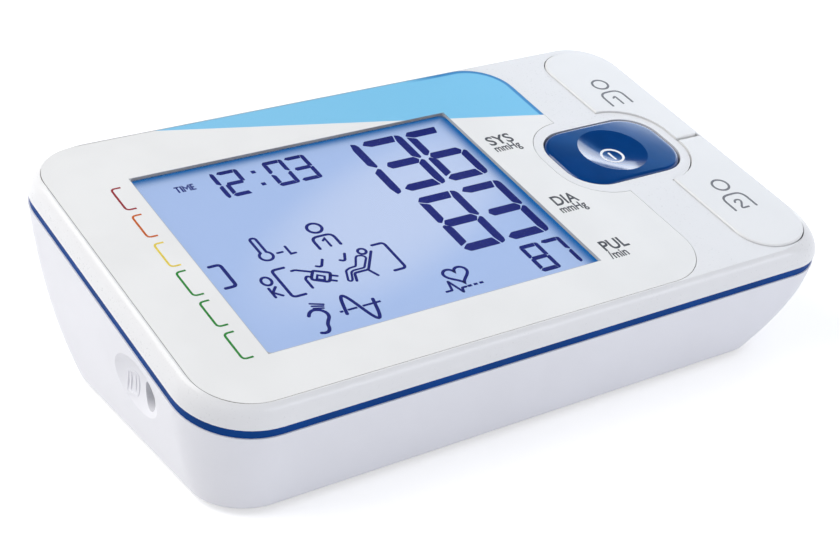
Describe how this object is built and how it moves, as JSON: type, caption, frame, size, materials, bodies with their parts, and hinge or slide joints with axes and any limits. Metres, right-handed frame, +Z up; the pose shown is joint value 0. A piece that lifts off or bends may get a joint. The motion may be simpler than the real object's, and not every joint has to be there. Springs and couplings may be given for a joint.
{
  "type": "upper-arm blood pressure monitor",
  "caption": "Desk-top blood pressure monitor with a tilted display deck, a raised oval power button, user keys, a cuff air socket and a sliding battery door.",
  "frame": {"origin": "centre of the footprint box of the whole monitor, on the table top", "axes": "+Z up, +X to the user's right along the monitor's width, +Y away from the user, towards the raised rear edge of the deck"},
  "size_m": [0.165, 0.0964, 0.0467],
  "materials": {
    "housing_white": "smooth semi-gloss moulding",
    "cover_white": "smooth semi-gloss moulding",
    "plate_white": "printed satin sheet",
    "seam_blue": "satin coloured moulding",
    "lens_clear": "clear acrylic",
    "lcd_glass": "liquid-crystal panel",
    "light_guide": "clear white acrylic sheet",
    "frame_grey": "moulded frame",
    "button_blue": "high gloss",
    "key_white": "smooth semi-gloss moulding",
    "dome_silicone": "moulded silicone",
    "board_green": "solder mask over glass fibre",
    "screw_steel": "zinc plated",
    "chip_black": "moulded package",
    "buzzer_black": "moulded case",
    "sensor_grey": "moulded case",
    "label_white": "blank film",
    "cell_can": "wrapped can",
    "contact_nickel": "nickel plated spring steel",
    "socket_grey": "moulded socket",
    "jack_black": "moulded socket",
    "motor_steel": "drawn can",
    "rotor_steel": "laminated core and windings",
    "pump_plastic": "moulded head",
    "diaphragm_rubber": "moulded rubber",
    "cradle_rubber": "moulded rubber",
    "valve_plastic": "moulded block",
    "plunger_steel": "ground steel",
    "manifold_plastic": "moulded tee",
    "tube_silicone": "translucent silicone",
    "lead_red": "insulated wire",
    "foot_rubber": "moulded rubber"
  },
  "bodies": {
    "monitor_body": {"aa_cell_1": "cell_can", "aa_cell_2": "cell_can", "aa_cell_3": "cell_can", "aa_cell_4": "cell_can", "air_manifold": "manifold_plastic", "battery_leads": "lead_red", "board_screws": "screw_steel", "buzzer": "buzzer_black", "cuff_socket": "socket_grey", "display_lens": "lens_clear", "face_plate": "plate_white", "flat_contacts": "contact_nickel", "foot_left_front": "foot_rubber", "foot_left_rear": "foot_rubber", "foot_right_front": "foot_rubber", "foot_right_rear": "foot_rubber", "housing_screws": "screw_steel", "key_dome_1": "dome_silicone", "key_dome_2": "dome_silicone", "lcd_frame": "frame_grey", "lcd_panel": "lcd_glass", "light_guide": "light_guide", "lower_housing": "housing_white", "main_board": "board_green", "mains_jack": "jack_black", "microcontroller": "chip_black", "motor_can": "motor_steel", "motor_leads": "lead_red", "power_dome": "dome_silicone", "pressure_sensor": "sensor_grey", "pump_cradle": "cradle_rubber", "pump_diaphragm": "diaphragm_rubber", "pump_head": "pump_plastic", "pump_tube": "tube_silicone", "rating_plate": "label_white", "seam_band": "seam_blue", "socket_tube": "tube_silicone", "spring_contacts": "contact_nickel", "top_cover": "cover_white", "valve_body": "valve_plastic", "valve_tube": "tube_silicone"},
    "power_button_body": {"power_button": "button_blue"},
    "user_key_1_body": {"user_key_1": "key_white"},
    "user_key_2_body": {"user_key_2": "key_white"},
    "battery_door_body": {"battery_door": "housing_white"},
    "motor_rotor_body": {"motor_rotor": "rotor_steel"},
    "valve_plunger_body": {"valve_plunger": "plunger_steel"}
  },
  "joints": [
    {"name": "power_button_press", "type": "slide", "parent": "monitor_body", "child": "power_button_body", "axis": [0, 0.225, -0.9744], "range_m": [0, 0.001], "stiffness_N_per_m": 1500, "springref_m": -0.0003, "deforming": ["power_dome"]},
    {"name": "user_key_1_press", "type": "slide", "parent": "monitor_body", "child": "user_key_1_body", "axis": [0, 0.225, -0.9744], "range_m": [0, 0.0008], "stiffness_N_per_m": 1500, "springref_m": -0.0003, "deforming": ["key_dome_1"]},
    {"name": "user_key_2_press", "type": "slide", "parent": "monitor_body", "child": "user_key_2_body", "axis": [0, 0.225, -0.9744], "range_m": [0, 0.0008], "stiffness_N_per_m": 1500, "springref_m": -0.0003, "deforming": ["key_dome_2"]},
    {"name": "battery_door_slide", "type": "slide", "parent": "monitor_body", "child": "battery_door_body", "axis": [0, 1, 0], "range_m": [0, 0.06]},
    {"name": "motor_rotor_spin", "type": "hinge", "parent": "monitor_body", "child": "motor_rotor_body", "pos_m": [0.038, 0.0105, 0.015], "axis": [1, 0, 0], "continuous": true},
    {"name": "valve_plunger_slide", "type": "slide", "parent": "monitor_body", "child": "valve_plunger_body", "axis": [0, -1, 0], "range_m": [0, 0.0008], "stiffness_N_per_m": 400, "springref_m": -0.0003}
  ]
}
